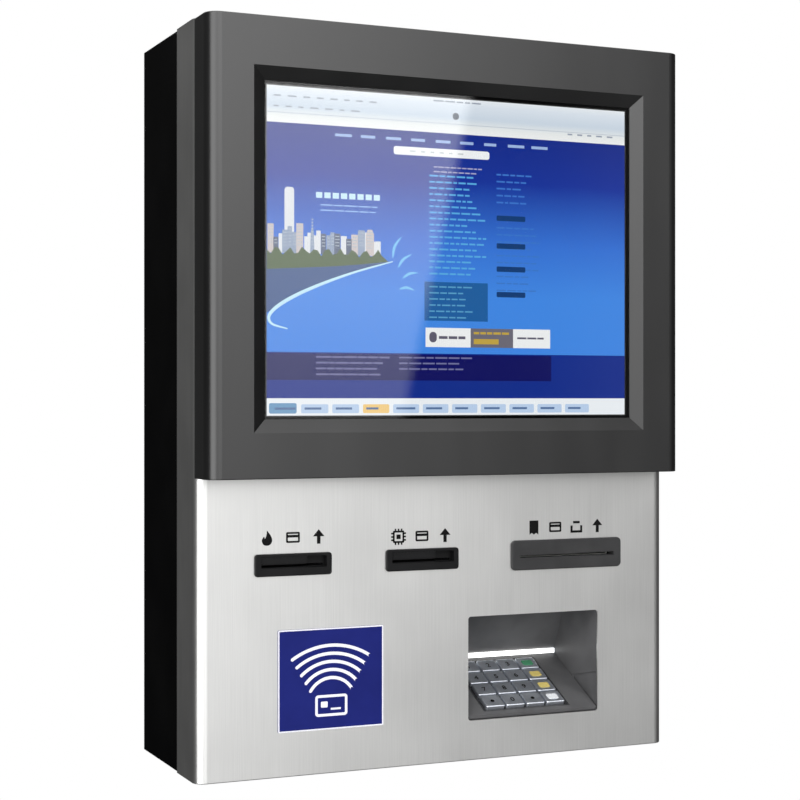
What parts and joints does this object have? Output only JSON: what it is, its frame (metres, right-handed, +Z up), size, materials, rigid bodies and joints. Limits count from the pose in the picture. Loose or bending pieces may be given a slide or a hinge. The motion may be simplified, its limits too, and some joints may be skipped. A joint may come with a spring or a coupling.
{
  "type": "wall-mounted self-service payment terminal",
  "caption": "Slim wall-mounted payment kiosk with a framed touch screen over a steel face with card slots, a receipt outlet, a contactless sign and a recessed keypad.",
  "frame": {"origin": "centre of the four wall-fixing holes, on the back face of the rear cabinet", "axes": "+Y into the wall, -Y towards the user, +Z up, +X to the user's right"},
  "size_m": [0.4535, 0.1881, 0.6286],
  "materials": {
    "cabinet_black": "fine-textured black powder coat",
    "stainless": "brushed stainless steel",
    "frame_black": "satin black lacquer",
    "glass": "clear toughened glass",
    "screen": "lit display panel in a metal rim",
    "bezel_black": "black moulded plastic",
    "sign_blue": "blue printed window plate",
    "recess_grey": "grey moulded plastic",
    "light_bar": "clear white light diffuser",
    "keypad_black": "black keypad body",
    "key_metal": "satin metal with dark marks",
    "hinge_steel": "plain steel",
    "screw_steel": "zinc-plated steel",
    "lock_chrome": "plated brass",
    "bracket_zinc": "plated sheet",
    "seal_rubber": "black foam and rubber",
    "inlet_black": "black plastic, brass pins",
    "rocker_red": "red plastic",
    "case_aluminium": "anodised and plain aluminium",
    "fan_plastic": "black plastic",
    "board_green": "circuit board",
    "reader_dark": "dark plastic module",
    "print_head_metal": "finned aluminium and ceramic",
    "platen_rubber": "ground rubber",
    "shaft_steel": "plain steel",
    "paper": "white thermal paper"
  },
  "bodies": {
    "cabinet": {"rear_cabinet": "cabinet_black", "cable_grommet": "seal_rubber", "mains_inlet": "inlet_black", "switch_housing": "inlet_black", "industrial_pc": "case_aluminium", "power_supply": "case_aluminium", "fan_frame": "fan_plastic", "cabinet_hinge_leaves": "hinge_steel", "hinge_pins": "hinge_steel", "cabinet_screws": "screw_steel", "lock_strike": "bracket_zinc"},
    "door": {"door_shell": "stainless", "door_seal": "seal_rubber", "door_hinge_leaves": "hinge_steel", "door_screws": "screw_steel", "monitor_frame": "frame_black", "touch_glass": "glass", "glass_gasket": "seal_rubber", "display_panel": "screen", "display_rails": "bracket_zinc", "display_driver_board": "board_green", "gas_card_bezel": "bezel_black", "bank_card_bezel": "bezel_black", "gas_card_reader": "reader_dark", "bank_card_reader": "reader_dark", "device_posts": "bracket_zinc", "receipt_bezel": "bezel_black", "printer_frame": "bracket_zinc", "print_head": "print_head_metal", "roll_spindle": "shaft_steel", "sign_window": "sign_blue", "aerial_housing": "reader_dark", "keypad_recess": "recess_grey", "keypad_plate": "recess_grey", "keypad_light": "light_bar", "keypad_body": "keypad_black", "lock_barrel": "lock_chrome"},
    "lock": {"lock_plug": "lock_chrome"},
    "fan": {"fan_rotor": "fan_plastic"},
    "rocker": {"switch_rocker": "rocker_red"},
    "platen": {"platen_roller": "platen_rubber", "platen_shaft": "shaft_steel"},
    "roll": {"paper_roll": "paper"},
    "key_11": {"key_11": "key_metal"},
    "key_12": {"key_12": "key_metal"},
    "key_13": {"key_13": "key_metal"},
    "key_14": {"key_14": "key_metal"},
    "key_21": {"key_21": "key_metal"},
    "key_22": {"key_22": "key_metal"},
    "key_23": {"key_23": "key_metal"},
    "key_24": {"key_24": "key_metal"},
    "key_31": {"key_31": "key_metal"},
    "key_32": {"key_32": "key_metal"},
    "key_33": {"key_33": "key_metal"},
    "key_34": {"key_34": "key_metal"},
    "key_41": {"key_41": "key_metal"},
    "key_42": {"key_42": "key_metal"},
    "key_43": {"key_43": "key_metal"},
    "key_44": {"key_44": "key_metal"}
  },
  "joints": [
    {"name": "door_swing", "type": "hinge", "parent": "cabinet", "child": "door", "pos_m": [0.227, -0.1052, 0], "axis": [0, 0, 1], "range_deg": [0, 110]},
    {"name": "lock_turn", "type": "hinge", "parent": "door", "child": "lock", "pos_m": [-0.15, -0.1298, -0.31305], "axis": [0, 0, 1], "range_deg": [0, 90]},
    {"name": "fan_spin", "type": "hinge", "parent": "cabinet", "child": "fan", "pos_m": [0, -0.0523, 0.31055], "axis": [0, 0, 1], "continuous": true},
    {"name": "switch_tip", "type": "hinge", "parent": "cabinet", "child": "rocker", "pos_m": [-0.078, -0.052, -0.30855], "axis": [0, 1, 0], "range_deg": [-16, 0]},
    {"name": "roll_spin", "type": "hinge", "parent": "door", "child": "roll", "pos_m": [0.1211, -0.0724, -0.11206], "axis": [1, 0, 0], "continuous": true},
    {"name": "platen_spin", "type": "hinge", "parent": "door", "child": "platen", "pos_m": [0.1211, -0.1344, -0.13086], "axis": [1, 0, 0], "continuous": true},
    {"name": "key_11_press", "type": "slide", "parent": "door", "child": "key_11", "axis": [0, 0.439, -0.8985], "range_m": [0, 0.0015], "stiffness_N_per_m": 400, "springref_m": -0.0008},
    {"name": "key_12_press", "type": "slide", "parent": "door", "child": "key_12", "axis": [0, 0.439, -0.8985], "range_m": [0, 0.0015], "stiffness_N_per_m": 400, "springref_m": -0.0008},
    {"name": "key_13_press", "type": "slide", "parent": "door", "child": "key_13", "axis": [0, 0.439, -0.8985], "range_m": [0, 0.0015], "stiffness_N_per_m": 400, "springref_m": -0.0008},
    {"name": "key_14_press", "type": "slide", "parent": "door", "child": "key_14", "axis": [0, 0.439, -0.8985], "range_m": [0, 0.0015], "stiffness_N_per_m": 400, "springref_m": -0.0008},
    {"name": "key_21_press", "type": "slide", "parent": "door", "child": "key_21", "axis": [0, 0.439, -0.8985], "range_m": [0, 0.0015], "stiffness_N_per_m": 400, "springref_m": -0.0008},
    {"name": "key_22_press", "type": "slide", "parent": "door", "child": "key_22", "axis": [0, 0.439, -0.8985], "range_m": [0, 0.0015], "stiffness_N_per_m": 400, "springref_m": -0.0008},
    {"name": "key_23_press", "type": "slide", "parent": "door", "child": "key_23", "axis": [0, 0.439, -0.8985], "range_m": [0, 0.0015], "stiffness_N_per_m": 400, "springref_m": -0.0008},
    {"name": "key_24_press", "type": "slide", "parent": "door", "child": "key_24", "axis": [0, 0.439, -0.8985], "range_m": [0, 0.0015], "stiffness_N_per_m": 400, "springref_m": -0.0008},
    {"name": "key_31_press", "type": "slide", "parent": "door", "child": "key_31", "axis": [0, 0.439, -0.8985], "range_m": [0, 0.0015], "stiffness_N_per_m": 400, "springref_m": -0.0008},
    {"name": "key_32_press", "type": "slide", "parent": "door", "child": "key_32", "axis": [0, 0.439, -0.8985], "range_m": [0, 0.0015], "stiffness_N_per_m": 400, "springref_m": -0.0008},
    {"name": "key_33_press", "type": "slide", "parent": "door", "child": "key_33", "axis": [0, 0.439, -0.8985], "range_m": [0, 0.0015], "stiffness_N_per_m": 400, "springref_m": -0.0008},
    {"name": "key_34_press", "type": "slide", "parent": "door", "child": "key_34", "axis": [0, 0.439, -0.8985], "range_m": [0, 0.0015], "stiffness_N_per_m": 400, "springref_m": -0.0008},
    {"name": "key_41_press", "type": "slide", "parent": "door", "child": "key_41", "axis": [0, 0.439, -0.8985], "range_m": [0, 0.0015], "stiffness_N_per_m": 400, "springref_m": -0.0008},
    {"name": "key_42_press", "type": "slide", "parent": "door", "child": "key_42", "axis": [0, 0.439, -0.8985], "range_m": [0, 0.0015], "stiffness_N_per_m": 400, "springref_m": -0.0008},
    {"name": "key_43_press", "type": "slide", "parent": "door", "child": "key_43", "axis": [0, 0.439, -0.8985], "range_m": [0, 0.0015], "stiffness_N_per_m": 400, "springref_m": -0.0008},
    {"name": "key_44_press", "type": "slide", "parent": "door", "child": "key_44", "axis": [0, 0.439, -0.8985], "range_m": [0, 0.0015], "stiffness_N_per_m": 400, "springref_m": -0.0008}
  ],
  "couplings": [
    {"joint": "platen_spin", "follows": "roll_spin", "ratio": 4.6667}
  ]
}
